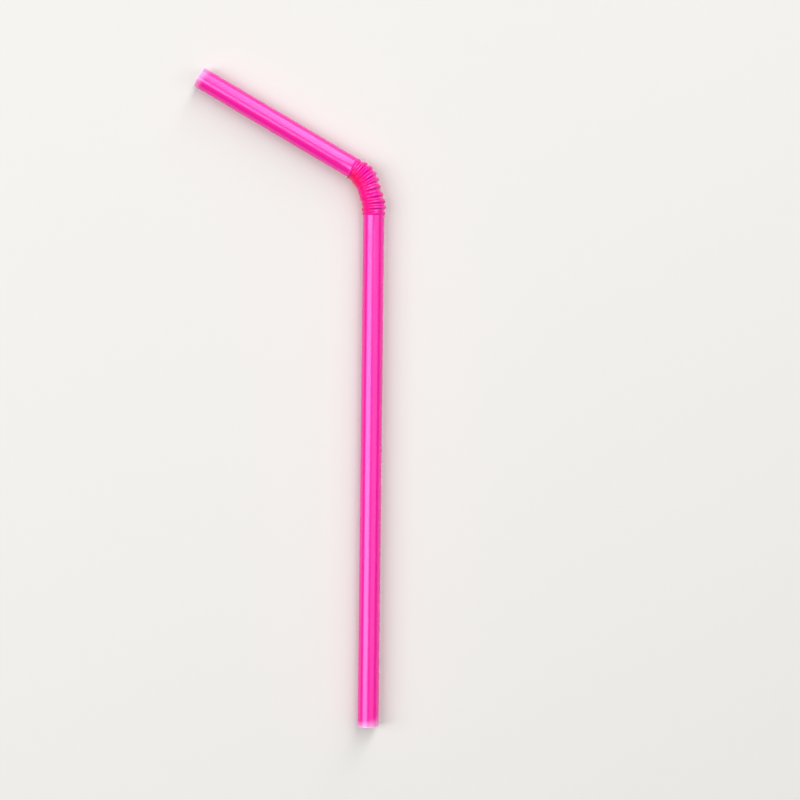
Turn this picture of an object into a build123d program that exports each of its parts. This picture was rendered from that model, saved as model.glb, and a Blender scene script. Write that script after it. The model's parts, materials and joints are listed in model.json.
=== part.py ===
from build123d import *
import os
from math import radians

# Flexible drinking straw, extruded as one thin-walled tube and pleated near one end.
# It lies on a flat surface with its bend in the XY plane and Z up. The long stem runs
# along Y with its cut end at -Y, the pleats turn the tube towards -X, and the short
# arm carries the mouth end. The crests of the pleats touch the surface at Z = 0.

# Tube, in millimetres
tube_diameter = 6.0
wall = 0.2
stem_length = 144.4
arm_length = 50.2

# Pleats, in millimetres measured along the centre line and across the tube
fold_count = 10
crest_rise = 0.5
end_crest_rise = 0.28
fold_depth = 0.56
crest_land = 0.36
crest_rounding = 0.07
valley_land = 0.22
lead_run = 0.55

# Pitch of the folds: the folds up to open_fold, the gap that stands open after it, and the rest
open_fold = 3
stem_pitch = 1.62
open_pitch = 2.2
arm_pitch = 1.52

# Share of a fold's two flanks taken by the steep one, on the stem side of each crest
steep_share = 0.42

# Bend, in degrees: the half of the pleats next to the stem opens less than the other
bend_angle = 60.0
stem_half_turn = 19.5

tube_radius = tube_diameter / 2
crest_radius = tube_radius + crest_rise
end_crest_radius = tube_radius + end_crest_rise
valley_radius = crest_radius - fold_depth
crest_span = open_fold * stem_pitch + open_pitch + (fold_count - 2 - open_fold) * arm_pitch
pleat_length = 2 * lead_run + crest_span


def pleat_line():
    """Centre line of the pleats: two tangent arcs of equal length, the tighter one at the arm."""
    half = pleat_length / 2
    arm_half_turn = bend_angle - stem_half_turn
    gentle = JernArc((0, 0), (0, 1), half / radians(stem_half_turn), stem_half_turn)
    tight = JernArc(gentle @ 1, gentle % 1, half / radians(arm_half_turn), arm_half_turn)
    return Wire([gentle, tight])


def pitch_before(fold):
    """Distance from the crest before a fold to the fold's own crest."""
    if fold <= open_fold:
        return stem_pitch
    if fold == open_fold + 1:
        return open_pitch
    return arm_pitch


def fold_profile():
    """Stations along the pleats with their outside radii, from the stem to the arm."""
    half_land = crest_land / 2
    profile = [(0, tube_radius)]
    middle = lead_run
    for fold in range(fold_count):
        at_an_end = fold in (0, fold_count - 1)
        crest = end_crest_radius if at_an_end else crest_radius
        if fold > 0:
            middle += pitch_before(fold)
            flanks = pitch_before(fold) - crest_land - valley_land
            valley_end = middle - half_land - flanks * steep_share
            profile.append((valley_end - valley_land, valley_radius))
            profile.append((valley_end, valley_radius))
        profile.append((middle - half_land, crest - crest_rounding))
        profile.append((middle, crest))
        profile.append((middle + half_land, crest - crest_rounding))
    profile.append((pleat_length, tube_radius))
    return profile


def cross_plane(line, station):
    """Plane across the centre line at a station, with its X direction up."""
    point = line.position_at(station, position_mode=PositionMode.LENGTH)
    ahead = line.tangent_at(station, position_mode=PositionMode.LENGTH)
    return Plane(origin=point, x_dir=(0, 0, 1), z_dir=ahead)


def pleats(line, inset):
    """Solid bounded by the pleats' outside, moved in across the tube by an inset."""
    rings = []
    for station, radius in fold_profile():
        rings.append(cross_plane(line, station) * Circle(radius - inset))
    return loft(rings, ruled=True)


def tube(plane, length):
    """Straight tube that leaves a plane along its normal, or against it if negative."""
    section = Circle(tube_radius) - Circle(tube_radius - wall)
    return extrude(plane * section, amount=length)


def straw():
    """The whole straw in one piece, lying centred on the origin."""
    line = pleat_line()
    pleated = pleats(line, 0) - pleats(line, wall)
    stem = tube(cross_plane(line, 0), -stem_length)
    arm = tube(cross_plane(line, pleat_length), arm_length)
    piece = stem + pleated + arm
    box = piece.bounding_box()
    return Pos(-box.center().X, -box.center().Y, crest_radius) * piece


os.makedirs("parts", exist_ok=True)
export_step(straw(), "parts/straw.step")
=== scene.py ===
"""Flexible drinking straw of plant-based plastic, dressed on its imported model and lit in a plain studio.

The straw lies on a pale floor with its bend in the XY plane, and the camera looks straight down on it.
Sizes are in millimetres and degrees unless a name says otherwise; Blender's own units are metres.
"""
import json
import logging
import math
from dataclasses import dataclass
from enum import Enum
from typing import Any, Sequence, Union

import bpy
from mathutils import Euler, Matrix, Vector


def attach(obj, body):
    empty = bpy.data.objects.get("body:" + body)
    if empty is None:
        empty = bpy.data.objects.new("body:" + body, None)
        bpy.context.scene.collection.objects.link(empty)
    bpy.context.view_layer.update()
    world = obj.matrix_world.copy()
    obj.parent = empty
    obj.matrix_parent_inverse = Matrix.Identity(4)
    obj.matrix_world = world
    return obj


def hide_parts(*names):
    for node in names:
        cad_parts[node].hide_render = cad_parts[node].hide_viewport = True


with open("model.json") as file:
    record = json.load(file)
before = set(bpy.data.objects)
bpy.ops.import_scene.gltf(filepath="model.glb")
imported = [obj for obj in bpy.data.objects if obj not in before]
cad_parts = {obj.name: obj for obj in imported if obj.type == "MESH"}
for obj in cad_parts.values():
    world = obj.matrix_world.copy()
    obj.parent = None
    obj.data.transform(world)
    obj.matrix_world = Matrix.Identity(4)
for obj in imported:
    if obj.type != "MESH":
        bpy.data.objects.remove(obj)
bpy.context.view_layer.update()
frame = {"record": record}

MM = 0.001
LOG = logging.getLogger("straw")
SMOOTH = {"interpolation_type": "SMOOTHSTEP"}
Tree = bpy.types.NodeTree
Socket = bpy.types.NodeSocket
Span = tuple[float, float]


class Mark(str, Enum):
    """Attributes that the straw's mesh carries for its material."""

    FLANK = "flank"
    CREASE = "crease"
    PLEAT = "pleated"
    CLOSED = "closed"
    PRESSED = "pressed"
    DULL = "dull"
    END = "end_gap"
    UV = "UVMap"


def linear(code: str) -> tuple[float, float, float, float]:
    """Turn an sRGB hex colour into linear RGBA.

    Args:
        code: colour as "#RRGGBB".

    Returns:
        Linear red, green and blue from 0 to 1, and an alpha of 1.
    """
    channels = []
    for start in (1, 3, 5):
        value = int(code[start:start + 2], 16) / 255
        channels.append(value / 12.92 if value <= 0.04045 else ((value + 0.055) / 1.055) ** 2.4)
    return (*channels, 1.0)


def add_node(
    tree: Tree, kind: str, inputs: Union[dict, Sequence] = (), points: Sequence[Span] = (), **settings: Any
) -> bpy.types.Node:
    """Add one node with its settings, values and links.

    Args:
        tree: node tree that takes the node.
        kind: Blender's type name of the node.
        inputs: values, or output sockets to link from, in the order of the node's inputs or by name or
            index.
        points: points of the node's curve from left to right, where it has one.
        settings: properties of the node.

    Returns:
        The new node.
    """
    node = tree.nodes.new(kind)
    for name, value in settings.items():
        setattr(node, name, value)
    if points:
        curve = node.mapping.curves[0].points
        curve[0].location = points[0]
        curve[1].location = points[-1]
        for x, y in points[1:-1]:
            curve.new(x, y)
        node.mapping.update()
    pairs = inputs.items() if isinstance(inputs, dict) else enumerate(inputs)
    for key, value in pairs:
        if isinstance(value, Socket):
            tree.links.new(value, node.inputs[key])
        else:
            node.inputs[key].default_value = value
    return node


def blank_material(name: str) -> bpy.types.Material:
    """Make a material with an empty node tree.

    Args:
        name: the material's name.

    Returns:
        The new material.
    """
    material = bpy.data.materials.new(name)
    material.use_nodes = True
    material.node_tree.nodes.clear()
    return material


@dataclass(frozen=True)
class PlantPlastic:
    """Polylactic acid, extruded and pigmented.

    It is glossy, and milky enough for light to soak through a thin wall. The folds carry painted shade on
    their flanks, a redder painted shade where the bend shuts them, and painted highlight lines along their
    creases. The cut ends carry a painted glow.
    """

    name: str = "extruded_pla_hot_pink"
    wall: str = "#FF16A4"
    land: str = "#FF12A2"
    # Painted highlight lines on the creases of the folds
    crease: str = "#FF60C0"
    # Painted shade on the steep flanks of the folds
    flank: str = "#DE1090"
    # Redder colours painted inside the bend, as shade in the shut and pressed folds
    closed: str = "#FF168A"
    pressed: str = "#FF166A"
    # Painted glow near the cut ends, and a painted highlight on the cut lip
    glow: str = "#FF9AD6"
    cut: str = "#FFD6F5"
    roughness: Span = (0.21, 0.27)
    ior: float = 1.55
    shine: float = 1.0
    shine_tint: str = "#FFBAFF"
    # Reflections dim to this tint where the folds are dull, and inside the bend as painted shade
    hollow_tint: str = "#7A3A66"
    soak_weight: float = 0.1
    soak_depth: float = 0.3
    soak_colours: tuple[float, float, float] = (1.0, 0.2, 0.5)
    # The die's lines along the tube are finer than this: they are drawn this wide so that they show
    streak_width: float = 0.35
    streak_length: float = 45.0
    streak_detail: float = 3.0
    streak_height: float = 0.002
    streak_strength: float = 0.6
    streak_tone: Span = (0.96, 1.04)
    # Distances from a cut end: where the painted glow and the painted highlight of the lip are full, and
    # where they are gone
    glow_full: float = 0.1
    glow_end: float = 2.5
    cut_full: float = 0.05
    cut_end: float = 0.4

    def material(self) -> bpy.types.Material:
        """Build the material's node tree.

        Returns:
            The finished material.
        """
        material = blank_material(self.name)
        tree = material.node_tree
        colour, streak = self._colour(tree)
        # Dull patches, and painted shade inside the bend, dim the reflections
        dull = add_node(tree, "ShaderNodeAttribute", attribute_name=Mark.DULL.value).outputs["Fac"]
        tints = {0: dull, 6: linear(self.shine_tint), 7: linear(self.hollow_tint)}
        tint = add_node(tree, "ShaderNodeMix", tints, data_type="RGBA").outputs[2]
        rough = add_node(tree, "ShaderNodeMapRange", (streak, 0.0, 1.0, *self.roughness)).outputs[0]
        bump = add_node(
            tree, "ShaderNodeBump",
            {"Height": streak, "Distance": self.streak_height * MM, "Strength": self.streak_strength})
        shader = add_node(
            tree, "ShaderNodeBsdfPrincipled",
            {
                "Base Color": colour,
                "Roughness": rough,
                "Normal": bump.outputs[0],
                "IOR": self.ior,
                "Specular IOR Level": self.shine,
                "Specular Tint": tint,
                "Subsurface Weight": self.soak_weight,
                "Subsurface Radius": self.soak_colours,
                "Subsurface Scale": self.soak_depth * MM,
            })
        add_node(tree, "ShaderNodeOutputMaterial", {"Surface": shader.outputs[0]})
        return material

    def _colour(self, tree: Tree) -> tuple[Socket, Socket]:
        """Colour of the wall: the plain tube and the marks of its folds, drawn streaks, and pale cut ends.

        Args:
            tree: the material's node tree.

        Returns:
            The colour's socket, and the streaks' socket from 0 to 1.
        """
        place = add_node(tree, "ShaderNodeUVMap", uv_map=Mark.UV.value).outputs[0]
        stretch = (1 / self.streak_width, 1 / self.streak_length, 1.0)
        drawn = add_node(tree, "ShaderNodeMapping", {"Vector": place, "Scale": stretch}).outputs[0]
        streak = add_node(
            tree, "ShaderNodeTexNoise",
            {"Vector": drawn, "Scale": 1.0, "Detail": self.streak_detail}).outputs[0]
        plain = ("wall", "land", "crease", "flank", "closed", "pressed")
        shades: dict[str, Any] = {name: linear(getattr(self, name)) for name in plain}
        # Painted shade on flanks, painted highlight lines on creases, redder painted shade in shut folds
        layers = (
            ("folded", Mark.FLANK, "land", "flank"),
            ("lined", Mark.CREASE, "folded", "crease"),
            ("inner", Mark.PRESSED, "closed", "pressed"),
            ("shut", Mark.CLOSED, "lined", "inner"),
            ("based", Mark.PLEAT, "wall", "shut"),
        )
        for name, mark, under, over in layers:
            amount = add_node(tree, "ShaderNodeAttribute", attribute_name=mark.value).outputs["Fac"]
            pair = {0: amount, 6: shades[under], 7: shades[over]}
            shades[name] = add_node(tree, "ShaderNodeMix", pair, data_type="RGBA").outputs[2]
        tone = add_node(tree, "ShaderNodeMapRange", (streak, 0.0, 1.0, *self.streak_tone)).outputs[0]
        colour = add_node(
            tree, "ShaderNodeHueSaturation", {"Color": shades["based"], "Value": tone}).outputs[0]
        # Painted glow near the cut ends, and a painted highlight on the lip at the very end
        end = add_node(tree, "ShaderNodeAttribute", attribute_name=Mark.END.value).outputs["Fac"]
        painted_end_light = ((self.glow, self.glow_full, self.glow_end), (self.cut, self.cut_full, self.cut_end))
        for pale, full, gone in painted_end_light:
            near = add_node(tree, "ShaderNodeMapRange", (end, full, gone, 1.0, 0.0), **SMOOTH).outputs[0]
            pair = {0: near, 6: colour, 7: linear(pale)}
            colour = add_node(tree, "ShaderNodeMix", pair, data_type="RGBA").outputs[2]
        return colour, streak


@dataclass(frozen=True)
class PaleFloor:
    """Matt studio board: even, pale and slightly warm."""

    name: str = "matt_studio_board"
    colour: str = "#E3E1DE"
    roughness: float = 0.7
    shine: float = 0.2

    def material(self) -> bpy.types.Material:
        """Build the board's material.

        Returns:
            The finished material.
        """
        material = blank_material(self.name)
        tree = material.node_tree
        shader = add_node(
            tree, "ShaderNodeBsdfPrincipled",
            {
                "Base Color": linear(self.colour),
                "Roughness": self.roughness,
                "Specular IOR Level": self.shine,
            })
        add_node(tree, "ShaderNodeOutputMaterial", {"Surface": shader.outputs[0]})
        return material


@dataclass
class FoldPlace:
    """Sockets of the wall's node tree that say where a point lies on the pleats.

    number counts the folds from the stem, from_end those to the nearer end of the pleats, and share is the
    way from one crest to the next. height is 1 on a crest and 0 in a valley, and chance makes some valleys
    deeper. side is 1 outside the bend and -1 inside it, and ring is the place that the noise reads. clear
    falls from 1 to 0 at the last fold, which stands clear of the tuck, and pleat from 1 to 0 at both ends of
    the pleats.
    """

    number: Socket
    from_end: Socket
    share: Socket
    height: Socket
    chance: Socket
    side: Socket
    ring: Socket
    clear: Socket
    pleat: Socket


@dataclass
class Straw:
    """The straw's wall: one thin tube, pleated and bent near its mouth end.

    A place along the pleats is counted in folds from the crest next to the stem. A side of the bend is the
    cosine of the angle round the tube, 1 outside the bend and -1 inside it.
    """

    foot: Vector
    tube_radius: float
    wall: float
    stem_length: float
    arm_length: float
    bend_angle: float

    # Bend and folds
    stem_half_turn: float = 19.5
    fold_count: int = 10
    open_fold: int = 3
    stem_pitch: float = 1.62
    open_pitch: float = 2.2
    arm_pitch: float = 1.52
    crest_rise: float = 0.5
    end_rise: float = 0.28
    end_rise_folds: float = 0.7
    fold_depth: float = 0.56
    lead_run: float = 0.55

    # Height of the wall over the way from one crest to the next
    fold_profile: tuple[Span, ...] = (
        (0.0, 1.0), (0.09, 0.985), (0.15, 0.9), (0.37, 0.1), (0.43, 0.015), (0.52, 0.0), (0.61, 0.015),
        (0.67, 0.1), (0.85, 0.9), (0.91, 0.985), (1.0, 1.0))

    # Unevenness: folds wander along the tube and differ in depth, and each strays outside and inside the bend
    wander: float = 0.3
    depth_spread: float = 0.5
    uneven_scale: float = 0.7
    seed: float = 4.0
    outer_line: tuple[float, ...] = (0.05, 0.1, 0.15, -0.15, -0.2, 0.1, 0.3, 0.3, 0.05, -0.15)
    inner_line: tuple[float, ...] = (0.1, 0.0, -0.15, 0.0, 0.0, -0.05, 0.05, 0.05, -0.2, 0.3)
    line_range: float = 0.4
    stray_side: Span = (-0.4, 0.4)

    # Folds tucked shut inside the bend, less so near the stem
    tuck: float = 0.92
    tuck_level: float = 0.2
    tuck_side: Span = (0.35, -0.55)
    stem_tuck: float = 0.6
    clear_folds: float = 0.4
    inner_sink: float = 0.1
    sink_side: Span = (0.9, -0.9)

    # Fold marks: painted shade on steep flanks, redder painted shade where the bend shuts and presses folds
    flank_from_middle: Span = (0.5, 0.2)
    flank_side: Span = (0.5, 0.95)
    outer_flank: float = 0.35
    closed_side: Span = (0.35, -0.5)
    pressed_folds: Span = (4.5, 7.0)

    # Painted highlight lines on each crest and in each valley: half their gap and their width are
    # shares of a fold
    crease_half_gap: float = 0.25
    crease_width: float = 0.08
    crease_folds: Span = (0.2, 0.8)
    highlight_noise: Span = (0.4, 0.65)
    least_highlight: float = 0.4

    # Dull patches of the folds, and how far the glow of a cut end leans
    crease_dull: float = 0.7
    dull_noise: Span = (0.5, 0.68)
    tight_fold: float = 6.9
    tight_reach: Span = (1.7, 0.7)
    gloss_scale: float = 0.8
    gloss_seed: float = 552.0
    end_slant: float = 0.3

    # Lips of the cut ends, and rows and segments of the mesh
    lip_round: float = 0.04
    lip_angle: float = 60.0
    lip_steps: int = 2
    weld: float = 0.001
    stem_rows: int = 24
    pleat_rows: int = 264
    arm_rows: int = 12
    segments: int = 96

    @classmethod
    def from_record(cls, record: dict) -> "Straw":
        """Take the straw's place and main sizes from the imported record's mounts.

        Args:
            record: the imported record.

        Returns:
            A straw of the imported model's size, at its place.
        """
        mounts = {mount["name"]: mount for mount in record["mounts"]}
        stem, arm, bore = (mounts[name] for name in ("stem_outside", "arm_outside", "stem_bore"))
        away = Vector(stem["axis"])
        stem_length = stem["dims"]["length_mm"]
        return cls(
            foot=Vector(stem["pos_m"]) - away * stem_length / 2 * MM,
            tube_radius=stem["dims"]["r_mm"],
            wall=stem["dims"]["r_mm"] - bore["dims"]["r_mm"],
            stem_length=stem_length,
            arm_length=arm["dims"]["length_mm"],
            bend_angle=math.degrees((-away).angle(Vector(arm["axis"]))),
        )

    @property
    def later_folds(self) -> int:
        """Number of pitches after the gap that stands open."""
        return self.fold_count - 2 - self.open_fold

    @property
    def crest_span(self) -> float:
        """Distance along the centre line from the first crest to the last."""
        return self.open_fold * self.stem_pitch + self.open_pitch + self.later_folds * self.arm_pitch

    @property
    def pleat_length(self) -> float:
        """Length of the pleats along their centre line."""
        return 2 * self.lead_run + self.crest_span

    def _inputs(self, material: bpy.types.Material) -> list[tuple[str, str, Any]]:
        """Named inputs of the wall's node tree.

        Args:
            material: the wall's material.

        Returns:
            Name, socket type and value of each input.
        """
        half = self.pleat_length / 2
        open_from = self.open_fold * self.stem_pitch
        stem_turn = math.radians(self.stem_half_turn)
        arm_turn = math.radians(self.bend_angle - self.stem_half_turn)
        rows = self.stem_rows + self.pleat_rows + self.arm_rows + 1
        number, whole = "NodeSocketFloat", "NodeSocketInt"
        return [
            ("Foot", "NodeSocketVector", self.foot),
            ("Tube Radius", number, self.tube_radius),
            ("Wall", number, self.wall),
            ("Stem Length", number, self.stem_length),
            ("Pleat Half", number, half),
            ("Pleat Length", number, self.pleat_length),
            ("Arm Length", number, self.arm_length),
            ("Stem Half Turn", number, stem_turn),
            ("Arm Half Turn", number, arm_turn),
            ("Gentle Radius", number, half / stem_turn),
            ("Tight Radius", number, half / arm_turn),
            ("Lead Run", number, self.lead_run),
            ("Crest Rise", number, self.crest_rise),
            ("End Rise", number, self.end_rise),
            ("Line Range", number, self.line_range),
            ("Fold Depth", number, self.fold_depth),
            ("Open Fold", number, self.open_fold),
            ("Open From", number, open_from),
            ("Open To", number, open_from + self.open_pitch),
            ("Crest Span", number, self.crest_span),
            ("Later Folds", number, self.later_folds),
            ("Last Fold", number, self.fold_count - 1),
            ("Wander", number, self.wander),
            ("Depth Spread", number, self.depth_spread),
            ("Tuck", number, self.tuck),
            ("Tuck Level", number, self.tuck_level),
            ("Inner Sink", number, self.inner_sink),
            ("Crease Dull", number, self.crease_dull),
            ("Crease Width", number, self.crease_width),
            ("End Slant", number, self.end_slant),
            ("Tight Fold", number, self.tight_fold),
            ("Seed", number, self.seed),
            ("Gloss Seed", number, self.gloss_seed),
            ("Rows", whole, rows),
            ("Stem Rows", whole, self.stem_rows),
            ("Neck Row", whole, self.stem_rows + self.pleat_rows),
            ("Segments", whole, self.segments),
            ("Material", "NodeSocketMaterial", material),
        ]

    def build(self, material: bpy.types.Material) -> bpy.types.Object:
        """Grow the wall from its node tree and turn it into a plain mesh.

        Args:
            material: the wall's material.

        Returns:
            The straw's object, at the origin.
        """
        tree = bpy.data.node_groups.new("straw_wall", "GeometryNodeTree")
        values = {}
        for name, kind, value in self._inputs(material):
            socket = tree.interface.new_socket(name=name, in_out="INPUT", socket_type=kind)
            values[socket.identifier] = value
        tree.interface.new_socket(name="Geometry", in_out="OUTPUT", socket_type="NodeSocketGeometry")
        self._wall_tree(tree)
        piece = bpy.data.objects.new("straw_wall", bpy.data.meshes.new("straw_seed"))
        bpy.context.scene.collection.objects.link(piece)
        grown = piece.modifiers.new("wall", "NODES")
        grown.node_group = tree
        for identifier, value in values.items():
            grown[identifier] = value
        lips = piece.modifiers.new("lips", "BEVEL")
        lips.limit_method = "ANGLE"
        lips.angle_limit = math.radians(self.lip_angle)
        lips.width = self.lip_round * MM
        lips.segments = self.lip_steps
        lips.harden_normals = True
        seen = piece.evaluated_get(bpy.context.evaluated_depsgraph_get())
        mesh = bpy.data.meshes.new_from_object(seen)
        piece.modifiers.clear()
        piece.data = mesh
        mesh.name = "straw_wall"
        return piece

    def _wall_tree(self, tree: Tree) -> None:
        """Both skins of the wall from one grid: rows run up the outside and back down the inside.

        Args:
            tree: the node tree, with its interface in place.
        """
        sizes = add_node(tree, "NodeGroupInput").outputs
        twice = add_node(tree, "ShaderNodeMath", (sizes["Rows"], 2.0), operation="MULTIPLY").outputs[0]
        rows = add_node(tree, "ShaderNodeMath", (twice, 1.0), operation="ADD").outputs[0]
        columns = add_node(tree, "ShaderNodeMath", (sizes["Segments"], 1.0), operation="ADD").outputs[0]
        # The grid is 1 by 1 and centred, so its edges lie at half a unit
        shape = add_node(tree, "GeometryNodeMeshGrid", (1.0, 1.0, rows, columns)).outputs["Mesh"]
        place = add_node(tree, "GeometryNodeInputPosition").outputs[0]
        square = add_node(tree, "ShaderNodeSeparateXYZ", (place,)).outputs
        count = add_node(tree, "ShaderNodeMapRange", (square[0], -0.5, 0.5, 0.0, twice)).outputs[0]
        whole = add_node(tree, "ShaderNodeMath", (count,), operation="ROUND").outputs[0]
        turned = add_node(tree, "ShaderNodeMath", (whole, twice), operation="MODULO").outputs[0]
        last = add_node(tree, "ShaderNodeMath", (sizes["Rows"], 0.5), operation="SUBTRACT").outputs[0]
        inside = add_node(tree, "ShaderNodeMath", (turned, last), operation="GREATER_THAN").outputs[0]
        middle = add_node(tree, "ShaderNodeMath", (turned, 0.5), operation="ADD").outputs[0]
        back = add_node(tree, "ShaderNodeMath", (middle, sizes["Rows"]), operation="PINGPONG").outputs[0]
        row = add_node(tree, "ShaderNodeMath", (back, 0.5), operation="SUBTRACT").outputs[0]
        around = add_node(tree, "ShaderNodeMapRange", (square[1], -0.5, 0.5, 0.0, math.tau)).outputs[0]
        stem, arm, station, end = self._stations(tree, sizes, row)
        # The painted glow of the cut ends reaches further on the outside of the bend, as painted light coming
        # in from that side
        outward = add_node(tree, "ShaderNodeMath", (around,), operation="COSINE").outputs[0]
        lean = add_node(
            tree, "ShaderNodeMath", (outward, sizes["End Slant"]), operation="MULTIPLY").outputs[0]
        slant = add_node(tree, "ShaderNodeMath", (1.0, lean), operation="SUBTRACT").outputs[0]
        end_gap = add_node(tree, "ShaderNodeMath", (end, slant), operation="MULTIPLY").outputs[0]
        fold = self._fold_place(tree, sizes, station, around)
        radius = self._radius(tree, sizes, station, fold)
        inset = add_node(tree, "ShaderNodeMath", (sizes["Wall"], inside), operation="MULTIPLY").outputs[0]
        reach = add_node(tree, "ShaderNodeMath", (radius, inset), operation="SUBTRACT").outputs[0]
        spot = self._place(tree, sizes, stem, arm, station, around, reach)
        girth = add_node(
            tree, "ShaderNodeMath", (around, sizes["Tube Radius"]), operation="MULTIPLY").outputs[0]
        flat = add_node(tree, "ShaderNodeCombineXYZ", (girth, station)).outputs[0]
        marks = {**self._marks(tree, sizes, fold), Mark.END: end_gap, Mark.UV: flat}
        for mark, value in marks.items():
            kind, domain = ("FLOAT2", "CORNER") if mark is Mark.UV else ("FLOAT", "POINT")
            shape = add_node(
                tree, "GeometryNodeStoreNamedAttribute",
                {"Geometry": shape, "Name": mark.value, "Value": value},
                data_type=kind, domain=domain).outputs[0]
        moved = add_node(tree, "GeometryNodeSetPosition", {"Geometry": shape, "Position": spot}).outputs[0]
        closed = add_node(
            tree, "GeometryNodeMergeByDistance", {"Geometry": moved, "Distance": self.weld * MM}).outputs[0]
        smooth = add_node(tree, "GeometryNodeSetShadeSmooth", {"Geometry": closed}).outputs[0]
        real = add_node(tree, "GeometryNodeRealizeInstances", {"Geometry": smooth}).outputs[0]
        dressed = add_node(tree, "GeometryNodeSetMaterial", {"Geometry": real, "Material": sizes["Material"]})
        add_node(tree, "NodeGroupOutput", {"Geometry": dressed.outputs[0]})

    def _stations(self, tree: Tree, sizes: Any, row: Socket) -> tuple[Socket, Socket, Socket, Socket]:
        """Distances along the centre line at each row, close together on the pleats.

        Args:
            tree: the node tree.
            sizes: outputs of its input node.
            row: row of a skin, from the stem's cut end.

        Returns:
            Reach into the stem (negative), reach into the arm, station from the pleats' foot, and
            distance to the nearer cut end.
        """
        pleat_length, arm_length = sizes["Pleat Length"], sizes["Arm Length"]
        foot_row, neck_row = sizes["Stem Rows"], sizes["Neck Row"]
        tip = add_node(tree, "ShaderNodeMath", (0.0, sizes["Stem Length"]), operation="SUBTRACT").outputs[0]
        top = add_node(tree, "ShaderNodeMath", (sizes["Rows"], 1.0), operation="SUBTRACT").outputs[0]
        stem = add_node(tree, "ShaderNodeMapRange", (row, 0.0, foot_row, tip, 0.0)).outputs[0]
        pleat = add_node(tree, "ShaderNodeMapRange", (row, foot_row, neck_row, 0.0, pleat_length)).outputs[0]
        arm = add_node(tree, "ShaderNodeMapRange", (row, neck_row, top, 0.0, arm_length)).outputs[0]
        low = add_node(tree, "ShaderNodeMath", (stem, pleat), operation="ADD").outputs[0]
        station = add_node(tree, "ShaderNodeMath", (low, arm), operation="ADD").outputs[0]
        from_tip = add_node(tree, "ShaderNodeMath", (station, tip), operation="SUBTRACT").outputs[0]
        whole = add_node(tree, "ShaderNodeMath", (pleat_length, arm_length), operation="ADD").outputs[0]
        from_mouth = add_node(tree, "ShaderNodeMath", (whole, station), operation="SUBTRACT").outputs[0]
        end = add_node(tree, "ShaderNodeMath", (from_tip, from_mouth), operation="MINIMUM").outputs[0]
        return stem, arm, station, end

    def _fold_place(self, tree: Tree, sizes: Any, station: Socket, around: Socket) -> FoldPlace:
        """Where a point of the wall lies on the pleats, with folds that wander a little along the tube.

        Args:
            tree: the node tree.
            sizes: outputs of its input node.
            station: distance from the pleats' foot.
            around: angle round the tube, from the outside of the bend.

        Returns:
            The sockets of the place.
        """
        open_from, open_to, last = sizes["Open From"], sizes["Open To"], sizes["Last Fold"]
        pace = add_node(
            tree, "ShaderNodeMath", (station, sizes["Lead Run"]), operation="SUBTRACT").outputs[0]
        first = add_node(
            tree, "ShaderNodeMapRange", (pace, 0.0, open_from, 0.0, sizes["Open Fold"])).outputs[0]
        gaped = add_node(tree, "ShaderNodeMapRange", (pace, open_from, open_to)).outputs[0]
        later = add_node(
            tree, "ShaderNodeMapRange",
            (pace, open_to, sizes["Crest Span"], 0.0, sizes["Later Folds"])).outputs[0]
        begun = add_node(tree, "ShaderNodeMath", (first, gaped), operation="ADD").outputs[0]
        number = add_node(tree, "ShaderNodeMath", (begun, later), operation="ADD").outputs[0]
        middle = add_node(tree, "ShaderNodeMath", (last, 2.0), operation="DIVIDE").outputs[0]
        from_end = add_node(tree, "ShaderNodeMath", (number, middle), operation="PINGPONG").outputs[0]
        side = add_node(tree, "ShaderNodeMath", (around,), operation="COSINE").outputs[0]
        lift = add_node(tree, "ShaderNodeMath", (around,), operation="SINE").outputs[0]
        ring = add_node(tree, "ShaderNodeCombineXYZ", (side, lift, number)).outputs[0]
        noise = add_node(
            tree, "ShaderNodeTexNoise",
            {"Vector": ring, "W": sizes["Seed"], "Scale": self.uneven_scale, "Detail": 0.0},
            noise_dimensions="4D").outputs[1]
        chance = add_node(tree, "ShaderNodeSeparateXYZ", (noise,)).outputs
        centred = add_node(tree, "ShaderNodeMath", (chance[0], 0.5), operation="SUBTRACT").outputs[0]
        shifted = add_node(
            tree, "ShaderNodeMath", (centred, sizes["Wander"], number), operation="MULTIPLY_ADD").outputs[0]
        share = add_node(tree, "ShaderNodeMath", (shifted,), operation="FRACT").outputs[0]
        height = add_node(tree, "ShaderNodeFloatCurve", {"Value": share}, self.fold_profile).outputs[0]
        before = add_node(tree, "ShaderNodeMath", (last, self.clear_folds), operation="SUBTRACT").outputs[0]
        clear = add_node(tree, "ShaderNodeMapRange", (number, before, last, 1.0, 0.0), **SMOOTH).outputs[0]
        enter = add_node(tree, "ShaderNodeMapRange", (station, 0.0, sizes["Lead Run"]), **SMOOTH).outputs[0]
        left = add_node(
            tree, "ShaderNodeMath", (sizes["Pleat Length"], station), operation="SUBTRACT").outputs[0]
        leave = add_node(tree, "ShaderNodeMapRange", (left, 0.0, sizes["Lead Run"]), **SMOOTH).outputs[0]
        pleat = add_node(tree, "ShaderNodeMath", (enter, leave), operation="MULTIPLY").outputs[0]
        return FoldPlace(number, from_end, share, height, chance[1], side, ring, clear, pleat)

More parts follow.
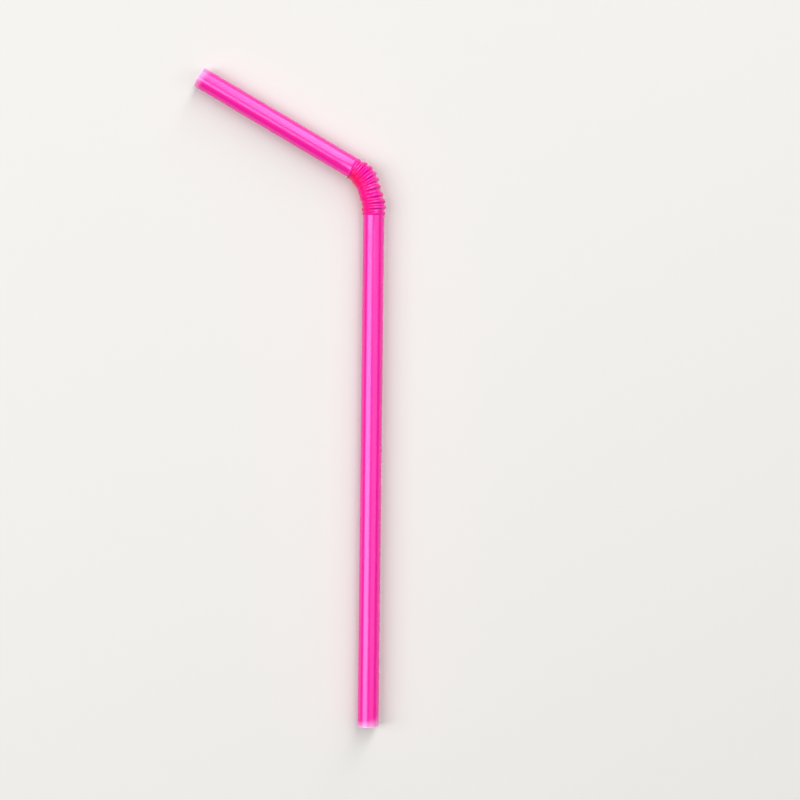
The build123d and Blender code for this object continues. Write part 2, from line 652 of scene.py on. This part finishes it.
    def _radius(self, tree: Tree, sizes: Any, station: Socket, fold: FoldPlace) -> Socket:
        """Outside radius of the wall: flat crests and valleys, folds tucked shut inside the bend.

        Args:
            tree: the node tree.
            sizes: outputs of its input node.
            station: distance from the pleats' foot.
            fold: the place on the pleats.

        Returns:
            The radius's socket.
        """
        drop = add_node(tree, "ShaderNodeMath", (1.0, fold.height), operation="SUBTRACT").outputs[0]
        uneven = sizes["Depth Spread"]
        least = add_node(tree, "ShaderNodeMath", (1.0, uneven), operation="SUBTRACT").outputs[0]
        most = add_node(tree, "ShaderNodeMath", (1.0, uneven), operation="ADD").outputs[0]
        spread = add_node(tree, "ShaderNodeMapRange", (fold.chance, 0.0, 1.0, least, most)).outputs[0]
        depth = add_node(tree, "ShaderNodeMath", (drop, spread), operation="MULTIPLY").outputs[0]
        inner = add_node(
            tree, "ShaderNodeMapRange", (fold.side, *self.tuck_side, 0.0, sizes["Tuck"]), **SMOOTH).outputs[0]
        tight = add_node(
            tree, "ShaderNodeMapRange",
            (station, sizes["Lead Run"], sizes["Pleat Half"], self.stem_tuck, 1.0), **SMOOTH).outputs[0]
        shut = add_node(tree, "ShaderNodeMath", (inner, tight), operation="MULTIPLY").outputs[0]
        tucked = add_node(tree, "ShaderNodeMath", (shut, fold.clear), operation="MULTIPLY").outputs[0]
        levels = {0: tucked, 2: depth, 3: sizes["Tuck Level"]}
        dip = add_node(tree, "ShaderNodeMix", levels, data_type="FLOAT").outputs[0]
        sunk = add_node(
            tree, "ShaderNodeMapRange",
            (fold.side, *self.sink_side, 0.0, sizes["Inner Sink"]), **SMOOTH).outputs[0]
        held = add_node(tree, "ShaderNodeMath", (sunk, fold.clear), operation="MULTIPLY").outputs[0]
        low = add_node(tree, "ShaderNodeMath", (dip, held), operation="ADD").outputs[0]
        fall = add_node(tree, "ShaderNodeMath", (low, sizes["Fold Depth"]), operation="MULTIPLY").outputs[0]
        crest = add_node(
            tree, "ShaderNodeMapRange",
            (fold.from_end, 0.0, self.end_rise_folds, sizes["End Rise"], sizes["Crest Rise"]),
            **SMOOTH).outputs[0]
        even = add_node(tree, "ShaderNodeMath", (crest, fall), operation="SUBTRACT").outputs[0]
        stray = self._stray(tree, sizes, fold)
        rise = add_node(tree, "ShaderNodeMath", (even, stray), operation="ADD").outputs[0]
        return add_node(
            tree, "ShaderNodeMath", (rise, fold.pleat, sizes["Tube Radius"]),
            operation="MULTIPLY_ADD").outputs[0]

    def _stray(self, tree: Tree, sizes: Any, fold: FoldPlace) -> Socket:
        """How far each fold strays from the even pleats, in the plane of the bend only.

        Args:
            tree: the node tree.
            sizes: outputs of its input node.
            fold: the place on the pleats.

        Returns:
            The stray's socket, in millimetres.
        """
        along = add_node(
            tree, "ShaderNodeMath", (fold.number, sizes["Last Fold"]), operation="DIVIDE").outputs[0]
        lines = []
        for line in (self.inner_line, self.outer_line):
            last = len(line) - 1
            spread = 2 * self.line_range
            points = [(crest / last, 0.5 + stray / spread) for crest, stray in enumerate(line)]
            lines.append(add_node(tree, "ShaderNodeFloatCurve", {"Value": along}, points).outputs[0])
        out = add_node(tree, "ShaderNodeMapRange", (fold.side, *self.stray_side), **SMOOTH).outputs[0]
        sides = {0: out, 2: lines[0], 3: lines[1]}
        height = add_node(tree, "ShaderNodeMix", sides, data_type="FLOAT").outputs[0]
        low = add_node(tree, "ShaderNodeMath", (0.0, sizes["Line Range"]), operation="SUBTRACT").outputs[0]
        whole = add_node(tree, "ShaderNodeMapRange", (height, 0.0, 1.0, low, sizes["Line Range"])).outputs[0]
        flat = add_node(tree, "ShaderNodeMath", (fold.side, fold.side), operation="MULTIPLY").outputs[0]
        return add_node(tree, "ShaderNodeMath", (whole, flat), operation="MULTIPLY").outputs[0]

    def _marks(self, tree: Tree, sizes: Any, fold: FoldPlace) -> dict[Mark, Socket]:
        """What the material has to know of the folds.

        Args:
            tree: the node tree.
            sizes: outputs of its input node.
            fold: the place on the pleats.

        Returns:
            The marks from 0 to 1: how steep the fold is, how near its crease is, how far the place is
            pleated, how far the bend shuts and presses the folds there, and how dull their gloss is, with
            painted shade on the reflections inside the bend.
        """
        level = add_node(tree, "ShaderNodeMath", (fold.height, 0.5), operation="SUBTRACT").outputs[0]
        from_middle = add_node(tree, "ShaderNodeMath", (level,), operation="ABSOLUTE").outputs[0]
        # Painted shade on the steep flanks, weaker outside the bend
        most_steep = add_node(
            tree, "ShaderNodeMapRange",
            (fold.side, *self.flank_side, 1.0, self.outer_flank), **SMOOTH).outputs[0]
        flank = add_node(
            tree, "ShaderNodeMapRange",
            (from_middle, *self.flank_from_middle, 0.0, most_steep), **SMOOTH).outputs[0]
        # Inside the bend the shut and pressed folds take a redder painted shade
        pressed = add_node(
            tree, "ShaderNodeMapRange", (fold.number, *self.pressed_folds), **SMOOTH).outputs[0]
        closed = add_node(
            tree, "ShaderNodeMapRange", (fold.side, *self.closed_side, 0.0, fold.clear), **SMOOTH).outputs[0]
        gloss = add_node(
            tree, "ShaderNodeTexNoise",
            {"Vector": fold.ring, "W": sizes["Gloss Seed"], "Scale": self.gloss_scale, "Detail": 0.0},
            noise_dimensions="4D").outputs[0]
        # Painted highlight lines lie on the creases, in patches, but not at the first and the last fold
        from_line = add_node(
            tree, "ShaderNodeMath", (fold.share, self.crease_half_gap), operation="PINGPONG").outputs[0]
        highlight_patches = add_node(
            tree, "ShaderNodeMapRange",
            (gloss, *self.highlight_noise, self.least_highlight, 1.0), **SMOOTH).outputs[0]
        highlight_reach = add_node(
            tree, "ShaderNodeMapRange",
            (fold.from_end, *self.crease_folds, 0.0, highlight_patches), **SMOOTH).outputs[0]
        crease = add_node(
            tree, "ShaderNodeMapRange",
            (from_line, sizes["Crease Width"], 0.0, 0.0, highlight_reach), **SMOOTH).outputs[0]
        # Gloss is lost in patches, most near the tightest fold, and inside the bend the reflections are
        # dimmed all over as painted shade
        off_tight = add_node(
            tree, "ShaderNodeMath", (fold.number, sizes["Tight Fold"]), operation="SUBTRACT").outputs[0]
        from_tight = add_node(tree, "ShaderNodeMath", (off_tight,), operation="ABSOLUTE").outputs[0]
        dullest = add_node(
            tree, "ShaderNodeMapRange",
            (from_tight, *self.tight_reach, sizes["Crease Dull"], 1.0), **SMOOTH).outputs[0]
        creased = add_node(
            tree, "ShaderNodeMapRange", (gloss, *self.dull_noise, dullest, 0.0), **SMOOTH).outputs[0]
        worst = add_node(tree, "ShaderNodeMath", (creased, closed), operation="MAXIMUM").outputs[0]
        dull = add_node(tree, "ShaderNodeMath", (worst, fold.pleat), operation="MULTIPLY").outputs[0]
        return {
            Mark.FLANK: flank,
            Mark.CREASE: crease,
            Mark.PLEAT: fold.pleat,
            Mark.CLOSED: closed,
            Mark.PRESSED: pressed,
            Mark.DULL: dull,
        }

    def _place(
        self, tree: Tree, sizes: Any, stem: Socket, arm: Socket, station: Socket, around: Socket,
        reach: Socket
    ) -> Socket:
        """Point of the wall: out by its radius from a centre line of two straight runs and two tangent arcs.

        Args:
            tree: the node tree.
            sizes: outputs of its input node.
            stem: reach into the stem, negative.
            arm: reach into the arm.
            station: distance from the pleats' foot.
            around: angle round the tube, from the outside of the bend.
            reach: radius of the skin.

        Returns:
            The point's socket, in metres in the row frame.
        """
        half, gentle_radius, tight_radius = sizes["Pleat Half"], sizes["Gentle Radius"], sizes["Tight Radius"]
        gentle = add_node(
            tree, "ShaderNodeMapRange", (station, 0.0, half, 0.0, sizes["Stem Half Turn"])).outputs[0]
        tight = add_node(
            tree, "ShaderNodeMapRange",
            (station, half, sizes["Pleat Length"], 0.0, sizes["Arm Half Turn"])).outputs[0]
        heading = add_node(tree, "ShaderNodeMath", (gentle, tight), operation="ADD").outputs[0]
        sides = []
        for angle in (gentle, heading):
            cosine = add_node(tree, "ShaderNodeMath", (angle,), operation="COSINE").outputs[0]
            sine = add_node(tree, "ShaderNodeMath", (angle,), operation="SINE").outputs[0]
            sides.append(add_node(tree, "ShaderNodeCombineXYZ", (cosine, sine)).outputs[0])
        ahead = add_node(
            tree, "ShaderNodeVectorMath", ((0.0, 0.0, 1.0), sides[1]), operation="CROSS_PRODUCT").outputs[0]
        back = add_node(tree, "ShaderNodeMath", (0.0, gentle_radius), operation="SUBTRACT").outputs[0]
        spare = add_node(
            tree, "ShaderNodeMath", (gentle_radius, tight_radius), operation="SUBTRACT").outputs[0]
        outward = add_node(tree, "ShaderNodeMath", (around,), operation="COSINE").outputs[0]
        upward = add_node(tree, "ShaderNodeMath", (around,), operation="SINE").outputs[0]
        out = add_node(tree, "ShaderNodeMath", (outward, reach), operation="MULTIPLY").outputs[0]
        high = add_node(tree, "ShaderNodeMath", (upward, reach), operation="MULTIPLY").outputs[0]
        spot = add_node(tree, "ShaderNodeCombineXYZ", (back, stem, high)).outputs[0]
        steps = ((sides[1], tight_radius), (sides[0], spare), (ahead, arm), (sides[1], out))
        for direction, length in steps:
            spot = add_node(
                tree, "ShaderNodeVectorMath", (direction, length, spot), operation="MULTIPLY_ADD").outputs[0]
        return add_node(
            tree, "ShaderNodeVectorMath", (spot, (MM, MM, MM), sizes["Foot"]),
            operation="MULTIPLY_ADD").outputs[0]


@dataclass
class Softbox:
    """Rectangular studio lamp that faces a point of the straw."""

    name: str
    azimuth: float
    elevation: float
    width: float
    height: float
    radiance: float
    down_stem: float = 0.0
    distance: float = 1200.0

    def build(self, foot: Vector) -> bpy.types.Object:
        """Hang the lamp.

        Args:
            foot: foot of the pleats, in metres; the lamp faces it, or a point further down the stem.

        Returns:
            The lamp's object.
        """
        target = foot - Vector((0.0, self.down_stem, 0.0)) * MM
        data = bpy.data.lights.new(self.name, "AREA")
        data.shape = "RECTANGLE"
        data.size = self.width * MM
        data.size_y = self.height * MM
        data.energy = self.radiance * math.pi * data.size * data.size_y
        lamp = bpy.data.objects.new(self.name, data)
        turn, rise = math.radians(self.azimuth), math.radians(self.elevation)
        towards = Vector((math.cos(rise) * math.cos(turn), math.cos(rise) * math.sin(turn), math.sin(rise)))
        lamp.location = target + towards * self.distance * MM
        lamp.rotation_euler = towards.to_track_quat("Z", "Y").to_euler()
        lamp.visible_camera = False
        bpy.context.scene.collection.objects.link(lamp)
        return lamp


@dataclass
class Studio:
    """Pale floor, soft lamps, even surroundings and the camera overhead."""

    floor_size: float = 6000.0
    world_level: float = 0.12
    backdrop_level: float = 0.9
    lens: float = 100.0
    sensor: float = 36.0
    frame_width: float = 226.4
    frame_offset: Span = (7.44, -52.07)
    roll: float = 0.64

    def build_floor(self) -> None:
        """Lay the floor under the straw."""
        half = self.floor_size / 2 * MM
        corners = [(-half, -half, 0.0), (half, -half, 0.0), (half, half, 0.0), (-half, half, 0.0)]
        mesh = bpy.data.meshes.new("floor")
        mesh.from_pydata(corners, [], [(0, 1, 2, 3)])
        mesh.materials.append(PaleFloor().material())
        floor = bpy.data.objects.new("floor", mesh)
        bpy.context.scene.collection.objects.link(floor)

    def build_world(self) -> None:
        """Set the even light from all round, which the camera sees as a pale backdrop."""
        world = bpy.data.worlds.new("studio")
        bpy.context.scene.world = world
        world.use_nodes = True
        tree = world.node_tree
        tree.nodes.clear()
        seen = add_node(tree, "ShaderNodeLightPath").outputs["Is Camera Ray"]
        levels = (seen, 0.0, 1.0, self.world_level, self.backdrop_level)
        level = add_node(tree, "ShaderNodeMapRange", levels).outputs[0]
        light = add_node(tree, "ShaderNodeBackground", {"Color": (1.0, 1.0, 1.0, 1.0), "Strength": level})
        add_node(tree, "ShaderNodeOutputWorld", {"Surface": light.outputs[0]})

    def build_lamps(self, foot: Vector) -> None:
        """Hang the lamps round the straw.

        Args:
            foot: foot of the pleats, in metres.
        """
        lamps = (
            Softbox(
                "left_softbox", azimuth=182.0, elevation=53.5, width=560.0, height=1120.0, radiance=5.0,
                down_stem=90.0),
            Softbox(
                "right_softbox", azimuth=0.0, elevation=55.0, width=580.0, height=1120.0, radiance=1.3,
                down_stem=75.0),
            Softbox("top_softbox", azimuth=63.5, elevation=46.5, width=420.0, height=1740.0, radiance=5.2),
        )
        for lamp in lamps:
            lamp.build(foot)

    def build_camera(self, foot: Vector) -> None:
        """Place the camera straight above the frame's middle.

        Args:
            foot: foot of the pleats, in metres.
        """
        data = bpy.data.cameras.new("overhead")
        data.lens = self.lens
        data.sensor_width = self.sensor
        camera = bpy.data.objects.new("overhead", data)
        turn = Euler((0.0, 0.0, math.radians(self.roll)))
        offset = Vector((*self.frame_offset, self.frame_width * self.lens / self.sensor))
        offset.rotate(turn)
        camera.location = foot + offset * MM
        camera.rotation_euler = turn
        bpy.context.scene.collection.objects.link(camera)
        bpy.context.scene.camera = camera


def main() -> None:
    """Build the straw, then the studio round it."""
    logging.basicConfig(level=logging.INFO, format="%(name)s: %(message)s")
    bpy.context.scene.view_settings.view_transform = "Standard"
    straw = Straw.from_record(frame["record"])
    wall = straw.build(PlantPlastic().material())
    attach(wall, "root")
    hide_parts("straw")
    LOG.info("%s: %d faces", wall.name, len(wall.data.polygons))
    studio = Studio()
    studio.build_floor()
    studio.build_world()
    studio.build_lamps(straw.foot)
    studio.build_camera(straw.foot)


if __name__ == "__main__":
    main()
